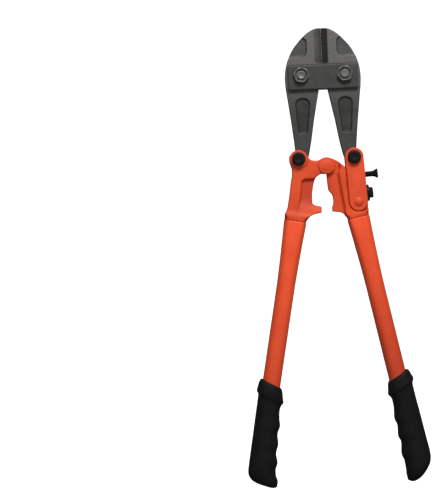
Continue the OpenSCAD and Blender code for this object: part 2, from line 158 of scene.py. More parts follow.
class Field:
    def __init__(self, lo, hi, h):
        self.h, self.lo = h, np.array(lo, float)
        n = [int(math.ceil((b - a) / h)) + 1 for a, b in zip(lo, hi)]
        ax = [np.asarray(a + h * np.arange(k), np.float32) for a, k in zip(lo, n)]
        self.x, self.y, self.z = ax[0][:, None, None], ax[1][None, :, None], ax[2][None, None, :]
        self.x2, self.y2 = ax[0][:, None], ax[1][None, :]
        self.az = np.abs(self.z)

    def poly(self, pts, n=8):
        """Signed distance to a rounded outline, on the XY grid."""
        q = rounded(pts, n).astype(np.float32)
        x, y = np.broadcast_arrays(self.x2, self.y2)
        d = np.full(x.shape, 1e9, np.float32)
        s = np.ones(x.shape, bool)
        for i in range(len(q)):
            a, b = q[i], q[i - 1]
            ex, ey = b - a
            if ex * ex + ey * ey < 1e-12:
                continue
            wx, wy = x - a[0], y - a[1]
            t = np.clip((wx * ex + wy * ey) / (ex * ex + ey * ey), 0, 1)
            d = np.minimum(d, (wx - ex * t) ** 2 + (wy - ey * t) ** 2)
            c1, c2, c3 = y >= a[1], y < b[1], ex * wy > ey * wx
            s ^= (c1 & c2 & c3) | ~(c1 | c2 | c3)
        return (np.sqrt(d) * np.where(s, 1, -1))[:, :, None]

    def disc(self, c, r):
        return (np.hypot(self.x2 - c[0], self.y2 - c[1]) - r)[:, :, None]

    def capsule(self, a, b, r):
        a, b = np.array(a, float), np.array(b, float)
        e = b - a
        wx, wy = self.x2 - a[0], self.y2 - a[1]
        t = np.clip((wx * e[0] + wy * e[1]) / (e @ e), 0, 1)
        return (np.hypot(wx - e[0] * t, wy - e[1] * t) - r)[:, :, None]

    def link(self, c1, r1, c2, r2):
        c1, c2 = np.array(c1, float), np.array(c2, float)
        v = c2 - c1
        d = np.hypot(*v)
        a, b = math.atan2(v[1], v[0]), math.acos((r1 - r2) / d)
        on = lambda c, r, f: list(c + r * np.array([math.cos(f), math.sin(f)]))
        quad = self.poly([on(c1, r1, a + b), on(c1, r1, a - b), on(c2, r2, a - b), on(c2, r2, a + b)])
        return np.minimum(np.minimum(self.disc(c1, r1), self.disc(c2, r2)), quad)

    def slab(self, d2, z0, z1, r=0.0):
        """d2 carried from z0 to z1, its outer edges rounded by r."""
        a = d2 + r
        b = np.abs(self.z - (z0 + z1) / 2) - (z1 - z0) / 2 + r
        return np.minimum(np.maximum(a, b), 0) + np.hypot(np.maximum(a, 0), np.maximum(b, 0)) - r

    def along(self, side):
        """Distance down a handle and across it."""
        k = 0 if side < 0 else 1
        a = math.radians(AXIS_A[k])
        u, v = self.x2 - AXIS_X[k], self.y2 - CY
        return (u * math.sin(a) - v * math.cos(a))[:, :, None], (u * math.cos(a) + v * math.sin(a))[:, :, None]

    def arm(self, s):
        """Coordinates of a screw across the adjuster arm: along the arm, outwards."""
        u, v = self.x2 - TX, self.y2 - TY
        c, d = math.cos(ARM_A), math.sin(ARM_A)
        return (-u * d + v * c + s)[:, :, None], (u * c + v * d)[:, :, None]


def surface(F, d, adaptivity):
    """Vertices in mm, faces and vertex normals of the zero surface of d."""
    d = np.ascontiguousarray(np.broadcast_to(d, (F.x.size, F.y.size, F.z.size)), np.float32)
    cap = 6 * F.h
    grid = openvdb.FloatGrid(cap)
    grid.copyFromArray(np.clip(d, -cap, cap), ijk=(0, 0, 0), tolerance=0.0)
    pts, tris, quads = grid.convertToPolygons(isovalue=0.0, adaptivity=adaptivity)
    pts = np.asarray(pts, np.float64)
    g = np.clip(pts, 0, np.array(d.shape) - 1.001)
    i = g.astype(int)
    f = (g - i).astype(np.float32)
    nrm = np.zeros((len(pts), 3), np.float32)
    for ax in range(3):
        grad = np.gradient(d, axis=ax)
        acc = np.zeros(len(pts), np.float32)
        for dx in (0, 1):
            for dy in (0, 1):
                for dz in (0, 1):
                    w = (f[:, 0] if dx else 1 - f[:, 0]) * (f[:, 1] if dy else 1 - f[:, 1]) * (f[:, 2] if dz else 1 - f[:, 2])
                    acc += w * grad[i[:, 0] + dx, i[:, 1] + dy, i[:, 2] + dz]
        nrm[:, ax] = acc
    nrm /= np.maximum(np.linalg.norm(nrm, axis=1, keepdims=True), 1e-9)
    faces = [list(map(int, q)) for q in quads] + [list(map(int, t)) for t in tris]
    # outward faces: compare with the field's own normals
    q = np.asarray(quads if len(quads) else tris)
    n0 = np.cross(pts[q[:, 1]] - pts[q[:, 0]], pts[q[:, 2]] - pts[q[:, 0]])
    if (n0 * nrm[q[:, 0]]).sum() < 0:
        faces = [f[::-1] for f in faces]
    return pts * F.h + F.lo, faces, nrm


def build(name, pts, faces, body, mat, stands_for=(), nrm=None, matrix=None, mirror=None):
    """A piece from a mesh in mm, in the frame above or in its own frame with a matrix."""
    pts = np.asarray(pts, float)
    if matrix is not None:
        m = np.array(matrix)
        pts = pts @ m[:3, :3].T + m[:3, 3]
        if nrm is not None:
            nrm = nrm @ m[:3, :3].T
        if np.linalg.det(m[:3, :3]) < 0:
            faces = [f[::-1] for f in faces]
    if mirror is not None:
        pts = pts.copy()
        pts[:, mirror] *= -1
        if nrm is not None:
            nrm = nrm.copy()
            nrm[:, mirror] *= -1
        faces = [f[::-1] for f in faces]
    me = bpy.data.meshes.new(name)
    me.from_pydata((pts / 1000 + ORIGIN).tolist(), [], [list(f) for f in faces])
    me.update()
    me.polygons.foreach_set("use_smooth", np.ones(len(me.polygons), bool))
    if nrm is not None:
        me.normals_split_custom_set_from_vertices(nrm.tolist())
    me.materials.append(mat)
    ob = bpy.data.objects.new(name, me)
    bpy.context.scene.collection.objects.link(ob)
    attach(ob, body)
    if stands_for:
        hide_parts(*stands_for)
    return ob


def along_matrix(side):
    k = 0 if side < 0 else 1
    a = math.radians(AXIS_A[k])
    return [[math.cos(a), 0, math.sin(a), AXIS_X[k]], [math.sin(a), 0, -math.cos(a), CY], [0, 1, 0, 0]]


def screw_matrix(s):
    c, d = math.cos(ARM_A), math.sin(ARM_A)
    return [[0, -d, c, TX + s * d], [0, c, d, TY - s * c], [-1, 0, 0, 0]]


def at(x, y, flip=False, turn=0.0):
    c, d = math.cos(math.radians(turn)), math.sin(math.radians(turn))
    k = -1 if flip else 1
    return [[c, -d, 0, x], [d, c, 0, y], [0, 0, k, 0]]


# ---------------------------------------------------------------------------
# Materials
# ---------------------------------------------------------------------------
class Nodes:
    def __init__(self, name):
        self.mat = bpy.data.materials.new(name)
        self.mat.use_nodes = True
        self.t = self.mat.node_tree
        self.bsdf = self.t.nodes["Principled BSDF"]
        self.co = self.t.nodes.new("ShaderNodeTexCoord").outputs["Object"]

    def new(self, kind, **sets):
        n = self.t.nodes.new(kind)
        for k, v in sets.items():
            setattr(n, k, v)
        return n

    def link(self, a, b):
        self.t.links.new(a, b)

    def noise(self, scale, detail=2.0, rough=0.5, stretch=None, co=None):
        n = self.new("ShaderNodeTexNoise")
        n.inputs["Scale"].default_value = scale
        n.inputs["Detail"].default_value = detail
        n.inputs["Roughness"].default_value = rough
        src = co or self.co
        if stretch:
            m = self.new("ShaderNodeMapping")
            m.inputs["Scale"].default_value = stretch
            self.link(src, m.inputs["Vector"])
            src = m.outputs["Vector"]
        self.link(src, n.inputs["Vector"])
        return n.outputs["Fac"]

    def voronoi(self, scale, feature="F1"):
        n = self.new("ShaderNodeTexVoronoi", feature=feature)
        n.inputs["Scale"].default_value = scale
        self.link(self.co, n.inputs["Vector"])
        return n.outputs["Distance"]

    def ramp(self, fac, stops):
        n = self.new("ShaderNodeValToRGB")
        e = n.color_ramp.elements
        while len(e) < len(stops):
            e.new(0.5)
        for el, (p, c) in zip(e, stops):
            el.position = p
            el.color = (c, c, c, 1) if isinstance(c, (int, float)) else (*c, 1)
        self.link(fac, n.inputs["Fac"])
        return n.outputs["Color"]

    def range(self, v, a, b, c, d):
        n = self.new("ShaderNodeMapRange")
        for k, x in zip(("From Min", "From Max", "To Min", "To Max"), (a, b, c, d)):
            n.inputs[k].default_value = x
        self.link(v, n.inputs["Value"])
        return n.outputs["Result"]

    def math(self, op, a, b=None):
        n = self.new("ShaderNodeMath", operation=op)
        for k, v in enumerate((a, b)):
            if v is None:
                continue
            if isinstance(v, (int, float)):
                n.inputs[k].default_value = v
            else:
                self.link(v, n.inputs[k])
        return n.outputs[0]

    def mix(self, fac, a, b, mode="MIX"):
        n = self.new("ShaderNodeMix", data_type="RGBA", blend_type=mode)
        ins = [s for s in n.inputs if s.enabled or True]
        f, ca, cb = n.inputs[0], n.inputs[6], n.inputs[7]
        for s, v in ((f, fac), (ca, a), (cb, b)):
            if isinstance(v, (int, float)):
                s.default_value = v if s == f else (v, v, v, 1)
            elif isinstance(v, tuple):
                s.default_value = (*v, 1)
            else:
                self.link(v, s)
        return n.outputs[2]

    def bump(self, height, distance, strength=1.0, prev=None):
        n = self.new("ShaderNodeBump")
        n.inputs["Distance"].default_value = distance
        n.inputs["Strength"].default_value = strength
        self.link(height, n.inputs["Height"])
        if prev is not None:
            self.link(prev, n.inputs["Normal"])
        return n.outputs["Normal"]

    def axis(self, i):
        n = self.new("ShaderNodeSeparateXYZ")
        self.link(self.co, n.inputs[0])
        return n.outputs[i]

    def distance(self, x, y):
        """Distance from the line (x, y) in mm, across the tool's face."""
        dx = self.math("SUBTRACT", self.axis(0), float(ORIGIN[0]) + x / 1000)
        dy = self.math("SUBTRACT", self.axis(1), float(ORIGIN[1]) + y / 1000)
        return self.math("SQRT", self.math("ADD", self.math("MULTIPLY", dx, dx), self.math("MULTIPLY", dy, dy)))

    def done(self, colour, rough, normal=None, **values):
        self.link(colour, self.bsdf.inputs["Base Color"])
        self.link(rough, self.bsdf.inputs["Roughness"])
        if normal is not None:
            self.link(normal, self.bsdf.inputs["Normal"])
        for k, v in values.items():
            self.bsdf.inputs[k.replace("_", " ")].default_value = v
        return self.mat


def orange_paint(name, casting):
    """Powder coat: slow drift of colour, fine orange peel, specks of grime; on castings painted shade with some grime
    in the recesses and a painted shadow round the tail bolts, on tubes painted shade towards the grips; rougher lumps
    on castings.
    """
    n = Nodes(name)
    slow = n.noise(28, 3, 0.55)
    if casting:
        base = n.ramp(slow, [(0.3, (0.52, 0.048, 0.0130)), (0.7, (0.68, 0.072, 0.0195))])
        # painted shade, with some grime: the recesses below the top faces are darkened, less on the right-hand casting
        az = n.math("ABSOLUTE", n.math("SUBTRACT", n.axis(2), float(ORIGIN[2])))
        wob = n.math("MULTIPLY", n.math("SUBTRACT", n.noise(110, 3, 0.6), 0.5), 0.003)
        low = n.range(n.math("ADD", az, wob), 0.0066, 0.0092, 0.75, 0.0)
        low = n.math("MULTIPLY", low, n.range(n.axis(0), float(ORIGIN[0]), float(ORIGIN[0]) + 0.006, 1.0, 0.15))
        base = n.mix(low, base, (0.40, 0.034, 0.0110))
        # painted shadow round the tail bolt heads, with some grime
        for x in (-TX, TX):
            ring = n.range(n.distance(x, TY), 0.0088, 0.0125, 0.62 if x < 0 else 0.45, 0.0)
            base = n.mix(ring, base, (0.20, 0.026, 0.0120))
    else:
        # painted shade: darker towards the grips, most of all on the right-hand tube
        base = n.ramp(slow, [(0.3, (0.74, 0.068, 0.0175)), (0.7, (0.84, 0.088, 0.0235))])
        painted_falloff = n.range(n.axis(1), float(ORIGIN[1]) - 0.400, float(ORIGIN[1]) - 0.190, 1.0, 0.0)
        painted_falloff = n.math("MULTIPLY", painted_falloff, n.range(n.axis(0), float(ORIGIN[0]) - 0.02, float(ORIGIN[0]) + 0.02, 0.42, 0.85))
        base = n.mix(painted_falloff, base, (0.44, 0.040, 0.0120))
    specks = n.ramp(n.noise(900, 2, 0.6), [(0.60, 0.0), (0.72, 1.0)])
    col = n.mix(n.math("MULTIPLY", specks, 0.10), base, (0.45, 0.035, 0.012))
    fine = n.noise(1400, 2, 0.5)
    peel = n.noise(420, 2, 0.45)
    b = n.bump(peel, 0.00010 if casting else 0.00005, 0.9)
    if casting:
        b = n.bump(n.noise(150, 3, 0.6), 0.0003, 0.7, b)
    b = n.bump(fine, 0.00002, 0.8, b)
    rough = n.range(n.noise(60, 4, 0.6), 0.3, 0.7, 0.48 if casting else 0.36, 0.62 if casting else 0.48)
    return n.done(col, rough, b, Specular_IOR_Level=0.20 if casting else 0.26, Coat_Weight=0.02 if casting else 0.05, Coat_Roughness=0.35)


def forged(name, low, high, ground=None, z_ground=None, metal=0.35):
    """Dark forged steel: oxide mottling, hammer-scale lumps, varied roughness; ground faces and lay marks are added by
    the materials built on it.
    """
    n = Nodes(name)
    blot = n.noise(70, 5, 0.62)
    fine = n.noise(520, 4, 0.7)
    base = n.ramp(blot, [(0.32, low), (0.68, high)])
    base = n.mix(n.range(fine, 0.35, 0.75, 0.0, 0.30), base, tuple(c * 0.62 for c in low))
    lump = n.bump(n.noise(230, 3, 0.6), 0.00022, 0.7)
    lump = n.bump(n.noise(1100, 3, 0.65), 0.00006, 0.8, lump)
    rough = n.range(n.noise(180, 4, 0.6), 0.3, 0.7, 0.50, 0.68)
    return n, base, lump, rough


def jaw_steel(name):
    n, base, lump, rough = forged(name, (0.054, 0.053, 0.050), (0.084, 0.083, 0.079))
    # darker towards the tails than towards the heads
    tail_to_head = n.range(n.axis(1), float(ORIGIN[1]) - 0.030, float(ORIGIN[1]) + 0.018, 0.50, 0.92)
    base = n.mix(1.0, base, n.ramp(tail_to_head, [(0.0, 0.0), (1.0, 1.0)]), "MULTIPLY")
    # painted shade: the right jaw's bevel is darkened as if it lay in shadow
    x0, y0 = float(ORIGIN[0]), float(ORIGIN[1])
    bevel_shade = n.math("MULTIPLY", n.range(n.axis(0), x0, x0 + 0.0003, 0.0, 1.0), n.range(n.axis(0), x0 + 0.0079, x0 + 0.0085, 1.0, 0.0))
    bevel_shade = n.math("MULTIPLY", bevel_shade, n.range(n.axis(1), y0 + 0.0147, y0 + 0.0153, 0.0, 0.80))
    base = n.mix(bevel_shade, base, (0.020, 0.0195, 0.018))
    # flats ground: height above the mid plane, lighter towards the tips
    az = n.math("ABSOLUTE", n.math("SUBTRACT", n.axis(2), float(ORIGIN[2])))
    wob = n.math("MULTIPLY", n.math("SUBTRACT", n.noise(160, 3, 0.6), 0.5), 0.0004)
    flat = n.range(n.math("ADD", az, wob), 0.00565, 0.00605, 0.0, 1.0)
    up = n.range(n.axis(1), float(ORIGIN[1]) - 0.05, float(ORIGIN[1]) + 0.015, 0.22, 1.0)
    lay = n.noise(900, 3, 0.6, (0.12, 1.0, 1.0))
    gcol = n.ramp(lay, [(0.3, (0.085, 0.083, 0.078)), (0.7, (0.114, 0.111, 0.104))])
    col = n.mix(n.math("MULTIPLY", flat, up), base, gcol)
    b = n.bump(lay, 0.00004, 0.6, lump)
    return n.done(col, rough, b, Metallic=0.50, Specular_IOR_Level=0.3)


def strap_steel(name):
    n, base, lump, rough = forged(name, (0.034, 0.033, 0.0315), (0.052, 0.051, 0.0485))
    lay = n.noise(700, 3, 0.6, (0.06, 1.0, 1.0))
    col = n.mix(n.range(lay, 0.35, 0.7, 0.0, 0.35), base, (0.066, 0.065, 0.0625))
    b = n.bump(lay, 0.00003, 0.6, lump)
    return n.done(col, rough, b, Metallic=0.50, Specular_IOR_Level=0.3)


def bright_steel(name):
    n = Nodes(name)
    blot = n.noise(160, 5, 0.6)
    col = n.ramp(blot, [(0.3, (0.100, 0.099, 0.095)), (0.7, (0.150, 0.148, 0.142))])
    pit = n.ramp(n.noise(900, 3, 0.65), [(0.58, 0.0), (0.75, 1.0)])
    col = n.mix(n.math("MULTIPLY", pit, 0.5), col, (0.05, 0.048, 0.045))
    b = n.bump(n.noise(500, 4, 0.6), 0.00006, 0.8)
    rough = n.range(n.noise(240, 4, 0.6), 0.3, 0.7, 0.46, 0.62)
    return n.done(col, rough, b, Metallic=0.6, Specular_IOR_Level=0.3)


def black_oxide(name):
    n = Nodes(name)
    blot = n.noise(200, 4, 0.6)
    col = n.ramp(blot, [(0.3, (0.0050, 0.0052, 0.0056)), (0.7, (0.0090, 0.0092, 0.0098))])
    wear = n.ramp(n.noise(700, 3, 0.6), [(0.66, 0.0), (0.82, 1.0)])
    col = n.mix(n.math("MULTIPLY", wear, 0.30), col, (0.04, 0.039, 0.037))
    b = n.bump(n.noise(900, 3, 0.6), 0.00004, 0.8)
    rough = n.range(n.noise(300, 4, 0.6), 0.3, 0.7, 0.30, 0.44)
    return n.done(col, rough, b, Metallic=0.0, Specular_IOR_Level=0.10)


def grip_rubber(name):
    """Moulded rubber: fine stipple from the mould, slight bloom."""
    n = Nodes(name)
    bloom = n.noise(45, 4, 0.6)
    col = n.ramp(bloom, [(0.3, (0.0048, 0.0049, 0.0052)), (0.72, (0.0072, 0.0073, 0.0077))])
    dust = n.ramp(n.noise(1300, 2, 0.6), [(0.62, 0.0), (0.8, 1.0)])
    col = n.mix(n.math("MULTIPLY", dust, 0.12), col, (0.022, 0.022, 0.023))
    cells = n.voronoi(1100)
    b = n.bump(cells, 0.00012, 0.55)
    b = n.bump(n.noise(320, 3, 0.5), 0.00008, 0.5, b)
    rough = n.range(n.noise(120, 4, 0.6), 0.3, 0.7, 0.58, 0.74)
    return n.done(col, rough, b, Specular_IOR_Level=0.10)


M_CAST = orange_paint("orange_casting", True)
M_TUBE = orange_paint("orange_tube", False)
M_JAW = jaw_steel("forged_jaw")
M_STRAP = strap_steel("strap_plate")
M_BRIGHT = bright_steel("bright_hardware")
M_BLACK = black_oxide("black_oxide")
M_RUBBER = grip_rubber("grip_rubber")


# ---------------------------------------------------------------------------
# Jaws
# ---------------------------------------------------------------------------
def make_blade(tag):
    F = Field((-1.5, -123, -7.6), (52.6, 64.4, 7.6), 0.45)
    d = F.slab(F.poly(BLADE), -CORE, CORE, 0.7)
    d = smin(d, F.slab(F.disc(T2, 10), -CORE, CORE, 0.7), 1.5)
    # cutting face stays crisp
    d = np.maximum(d, (0.02 if tag == "right" else 0.0) - F.x)
    # ground bevels, both faces: flat on the right jaw, rolled over on the left one
    if tag == "right":
        k = np.array([-5.2, 8.2]) / math.hypot(5.2, 8.2)
        f = (F.x - 8.25) * k[0] + (F.az - CORE) * k[1]
    else:
        u = np.array([0, .1, .2, .3, .4, .5, .6, .7, .8, .88, .94, 1.0, 1.1])
        slope = np.array([0, .07, .15, .22, .28, .34, .40, .47, .60, .80, 1.0, 1.2, 1.2])
        drop = np.concatenate([[0], np.cumsum(np.diff(u) * (slope[1:] + slope[:-1]) / 2)]) * 12.55
        f = (F.az - (CORE - np.interp((12.6 - F.x) / 12.55, u, drop).astype(np.float32))) * 0.88
    d = np.maximum(d, np.minimum(f, F.y - 15.0))
    # forged pockets, with drafted walls and filleted floors
    for pocket, draft in ((UPPER_POCKET, 0.35), (TAIL_POCKET, 0.45)):
        p = F.poly(pocket) + draft * (CORE - F.az)
        p = smax(p, (CORE - 2.2) - F.az, 1.4)
        d = smax(d, -p, 0.7)
    d = np.maximum(d, 6.1 - F.disc((PIVOT, 0), 0))
    d = np.maximum(d, 5.1 - F.disc(T2, 0))
    pts, faces, nrm = surface(F, d, 0.06)
    build(f"jaw_forging_{tag}", pts, faces, f"jaw_{tag}", M_JAW, (f"blade_{tag}",), nrm,
          mirror=0 if tag == "left" else None)


def make_straps():
    F = Field((-48, -20.5, 5.2), (48, 16.0, 12.4), 0.4)
    d2 = F.poly([[-46.5, 14.5, 2], [46.5, 14.5, 2], [46.5, -19, 2], [-46.5, -19, 2]])
    d = F.slab(d2, STRAP_IN, STRAP_OUT, 0.5)
    # bevelled upper edge, eased lower edge
    d = smax(d, ((F.y - 12.6) * 2.2 + (F.z - STRAP_OUT) * 2.0) / math.hypot(2.2, 2.0), 0.6)
    for s in (-1, 1):
        d = np.maximum(d, 6.05 - F.disc((s * PIVOT, 0), 0))
    pts, faces, nrm = surface(F, d, 0.05)
    build("strap_front", pts, faces, "head", M_STRAP, ("front_strap",), nrm)
    build("strap_rear", pts, faces, "head", M_STRAP, ("rear_strap",), nrm, mirror=2)


# ---------------------------------------------------------------------------
# Bolts and nuts
# ---------------------------------------------------------------------------
def hexagon(F, af, z0, z1, turned=True, both=False, r=0.25):
    """Hexagonal prism, its corners turned down on the outer face."""
    x, y = F.x, F.y
    d = np.full(np.broadcast_shapes(x.shape, y.shape), -1e9, np.float32)
    for k in range(3):
        a = math.radians(30 + 60 * k)
        d = np.maximum(d, np.abs(x * math.cos(a) + y * math.sin(a)) - af / 2)
    d = F.slab(d, z0, z1, r)
    rho = np.hypot(x, y)
    if turned:
        d = smax(d, (rho - af * 0.475) * 0.5 + (F.z - z1) * 0.866, 0.3)
    if both:
        d = smax(d, (rho - af * 0.475) * 0.5 - (F.z - z0) * 0.866, 0.3)
    return d


def thread(F, r, pitch, depth, z0, z1, left=False):
    """Cylinder with a helical V thread; smooth above and below z0..z1."""
    rho = np.hypot(F.x, F.y)
    th = np.arctan2(F.y, F.x) / (2 * math.pi)
    ph = (F.z / pitch - th) % 1.0
    tri = np.abs(ph - 0.5) * 2
    cut = depth * np.clip(1.15 - 1.3 * tri, 0, 1)
    fade = np.clip((F.z - z0) / pitch, 0, 1) * np.clip((z1 - F.z) / pitch, 0, 1)
    return (rho - r + cut * fade) * 0.85


def make_jaw_bolts():
    turn = {-1: -12, 1: 12}
    for s, tag, end, dish in ((-1, "left", 16.6, 0.9), (1, "right", 17.2, 0.15)):
        # nut: turned corners, wide countersunk mouth
        F = Field((-12.2, -12.2, 10.4), (12.2, 12.2, 18.0), 0.22)
        rho = np.hypot(F.x, F.y)
        d = hexagon(F, 19, STRAP_OUT, 17.0, turned=False, r=0.4)
        d = smax(d, (rho - 9.5) * 0.5 + (F.z - 17.0) * 0.866, 0.4)
        d = np.maximum(d, 6.02 - rho)
        d = smax(d, -np.maximum((rho - 8.5) * 0.88 - (F.z - 17.0) * 0.47, 14.2 - F.z), 0.4)
        nut = surface(F, d, 0.04)
        # bolt: hex head behind, plain shank, threaded end
        G = Field((-12.2, -12.2, -18.8), (12.2, 12.2, 18.0), 0.25)
        rho = np.hypot(G.x, G.y)
        sh = thread(G, 5.98, 1.75, 0.75, 8, 30)
        sh = np.maximum(sh, np.maximum(-12 - G.z, G.z - end + dish * np.clip(1 - (rho / 4.6) ** 2, 0, 1)))
        sh = smax(sh, (rho - 5.0) * 0.707 + (G.z - end) * 0.707, 0.4)
        head = hexagon_down(G, 19, -18.0, -11.2)
        bolt = surface(G, np.minimum(sh, head), 0.04)
        build(f"jaw_nut_{tag}", nut[0], nut[1], "head", M_BRIGHT, ("jaw_nuts",) if s < 0 else (), nut[2],
              at(s * PIVOT, 0, turn=turn[s]))
        build(f"jaw_bolt_{tag}", bolt[0], bolt[1], "head", M_BRIGHT, ("jaw_bolts",) if s < 0 else (), bolt[2],
              at(s * PIVOT, 0, turn=15))


def hexagon_down(F, af, z0, z1, r=0.25):
    x, y = F.x, F.y
    d = np.full(np.broadcast_shapes(x.shape, y.shape), -1e9, np.float32)
    for k in range(3):
        a = math.radians(30 + 60 * k)
        d = np.maximum(d, np.abs(x * math.cos(a) + y * math.sin(a)) - af / 2)
    d = F.slab(d, z0, z1, r)
    rho = np.hypot(x, y)
    return smax(d, (rho - af * 0.475) * 0.5 - (F.z - z0) * 0.866, 0.3)


def make_tail_bolts():
    for tag, x, e, turn, body in (("left", -TX, EAR, 8, "handle_left"), ("right", TX, EAR - 0.5, -6, "adjuster")):
        F = Field((-10.4, -10.4, -e - 6.6), (10.4, 10.4, e + 6.8), 0.24)
        rho = np.hypot(F.x, F.y)
        head = hexagon(F, 15, e, e + 6.0)
        flange = smax(F.slab(rho - 8.8, e, e + 2.2, 0.4), (rho - 8.8) * 0.47 + (F.z - e - 1.2) * 0.88, 0.3)
        head = smin(head, flange, 0.6)
        head = smax(head, -(np.hypot(rho, F.z - e - 16.5) - 11.2), 0.4)
        sh = thread(F, 4.97, 1.5, 0.6, -40, -e + 3)
        sh = np.maximum(sh, np.maximum(-e - 5.6 - F.z, F.z - e - 0.5))
        sh = smax(sh, (rho - 4.3) * 0.707 - (F.z + e + 5.6) * 0.707, 0.4)
        pts, faces, nrm = surface(F, np.minimum(head, sh), 0.04)
        build(f"tail_bolt_hex_{tag}", pts, faces, body, M_BLACK, (f"tail_bolt_{tag}",), nrm, at(x, TY, turn=turn))
        G = Field((-10.4, -10.4, -e - 6.0), (10.4, 10.4, -e + 1.0), 0.24)
        rho = np.hypot(G.x, G.y)
        nut = np.maximum(hexagon_down(G, 15, -e - 5.0, -e), 5.03 - rho)
        nut = smax(nut, -((rho - 5.4) * 0.7 + (G.z + e + 4.4) * 0.72), 0.2)
        pts, faces, nrm = surface(G, nut, 0.04)
        build(f"tail_nut_hex_{tag}", pts, faces, body, M_BLACK, (f"tail_nut_{tag}",), nrm, at(x, TY, turn=turn + 11))


def make_pins():
    for name, node, c, r, z, R, h, body in (
            ("center_pin_peened", "center_pin", C, 5.0, EAR, 8.6, 0.9, "handle_left"),
            ("adjuster_pin_peened", "adjuster_pin", P, 4.5, EAR - 0.5, 6.6, 2.4, "adjuster")):
        F = Field((-R - 1.4, -R - 1.4, -z - 3.6), (R + 1.4, R + 1.4, z + 3.6), 0.3)
        rho = np.hypot(F.x, F.y)
        S = (R * R + h * h) / (2 * h)
        dome = np.sqrt(rho * rho + (F.az - z - h + S) ** 2) - S
        dome = smax(dome, (z - 0.2) - F.az, 0.3)
        dome = smax(dome, rho - R, 0.5)
        sh = np.maximum(rho - r, F.az - z - 0.5)
        pts, faces, nrm = surface(F, smin(dome, sh, 0.5), 0.04)
        build(name, pts, faces, body, M_CAST, (node,), nrm, at(*c))


def make_adjusting_screw():
    F = Field((-7.2, -7.2, TIP_S - 1), (7.2, 7.2, TIP_S + 25), 0.2)
    rho = np.hypot(F.x, F.y)
    z = F.z - TIP_S
    shaft = thread(F, 3.97, 1.25, 0.62, TIP_S - 2, TIP_S + 16.6)
    shaft = np.maximum(shaft, np.maximum(-z, z - 19))
    shaft = smax(shaft, (rho - 2.7) * 0.707 - z * 0.707, 0.4)
    flare = 4.0 + np.clip((z - 17.2) / 3.7, 0, 1) ** 1.25 * 2.2
    head = (rho - flare) * 0.87
    head = smax(head, 17.0 - z, 0.4)
    head = smax(head, z - 22.7, 0.6)
    d = smin(shaft, head, 1.0)
    sock = np.full(rho.shape, -1e9, np.float32)
    for k in range(3):
        a = math.radians(30 + 60 * k)
        sock = np.maximum(sock, np.abs(F.x * math.cos(a) + F.y * math.sin(a)) - 3.0)
    d = smax(d, -np.maximum(sock, 20.2 - z), 0.25)
    pts, faces, nrm = surface(F, d, 0.04)
    build("adjusting_screw_threaded", pts, faces, "adjusting_screw", M_BLACK, ("adjusting_screw",), nrm, screw_matrix(SCREW_S))


def make_lock_bolt():
    F = Field((-8.4, -8.4, -11.0), (8.4, 8.4, ARM_R + 9.6), 0.24)
    rho = np.hypot(F.x, F.y)
    sh = thread(F, 3.97, 1.25, 0.6, -20, 9)
    sh = np.maximum(sh, np.maximum(-10 - F.z, F.z - ARM_R - WASHER_T - 0.6))
    sh = smax(sh, (rho - 3.2) * 0.707 - (F.z + 10) * 0.707, 0.4)
    head = hexagon(F, 12.6, ARM_R + WASHER_T + 0.3, ARM_R + WASHER_T + 5.3, r=0.3)
    head = smax(head, -(np.hypot(rho, F.z - ARM_R - WASHER_T - 14.6) - 10.0), 0.4)
    m = np.array(screw_matrix(LOCK_S))
    t = math.radians(30)
    turn = np.array([[math.cos(t), -math.sin(t), 0], [math.sin(t), math.cos(t), 0], [0, 0, 1]])
    m[:, :3] = m[:, :3] @ turn
    pts, faces, nrm = surface(F, np.minimum(sh, head), 0.04)
    build("lock_bolt_hex", pts, faces, "lock_bolt", M_BLACK, ("lock_bolt",), nrm, m)
    G = Field((-12.2, -12.2, ARM_R - 1), (12.2, 12.2, ARM_R + 4.4), 0.24)
    rho = np.hypot(G.x, G.y)
    w = G.slab(rho - 11.0, ARM_R, ARM_R + WASHER_T, 0.6)
    w = smax(w, 4.5 - rho, 0.4)
    pts, faces, nrm = surface(G, w, 0.04)
    build("lock_washer_plate", pts, faces, "adjuster", M_BLACK, ("lock_washer",), nrm, screw_matrix(LOCK_S))


# ---------------------------------------------------------------------------
# Castings
# ---------------------------------------------------------------------------
def collar(F, d, side, s0):
    """The casting runs out into the round mouth of its tube."""
    s, t = F.along(side)
    u = np.maximum(s0 - s, 0) / 9
    R = 15.1 + u * u * 6 + (u > 3) * 50
    d = smax(d, np.hypot(t, F.z) - R, 1.6)
    # the end rolls over into the seam
    d = smax(d, s - s0, 1.5)
    d = smax(d, (s - s0) * 0.34 + (F.az - 10.9) * 0.94, 1.0)
    tang = np.maximum(np.maximum(np.hypot(t, F.z) - 10.2, s - s0 - 9), s0 - 8 - s)
    return np.minimum(d, tang)


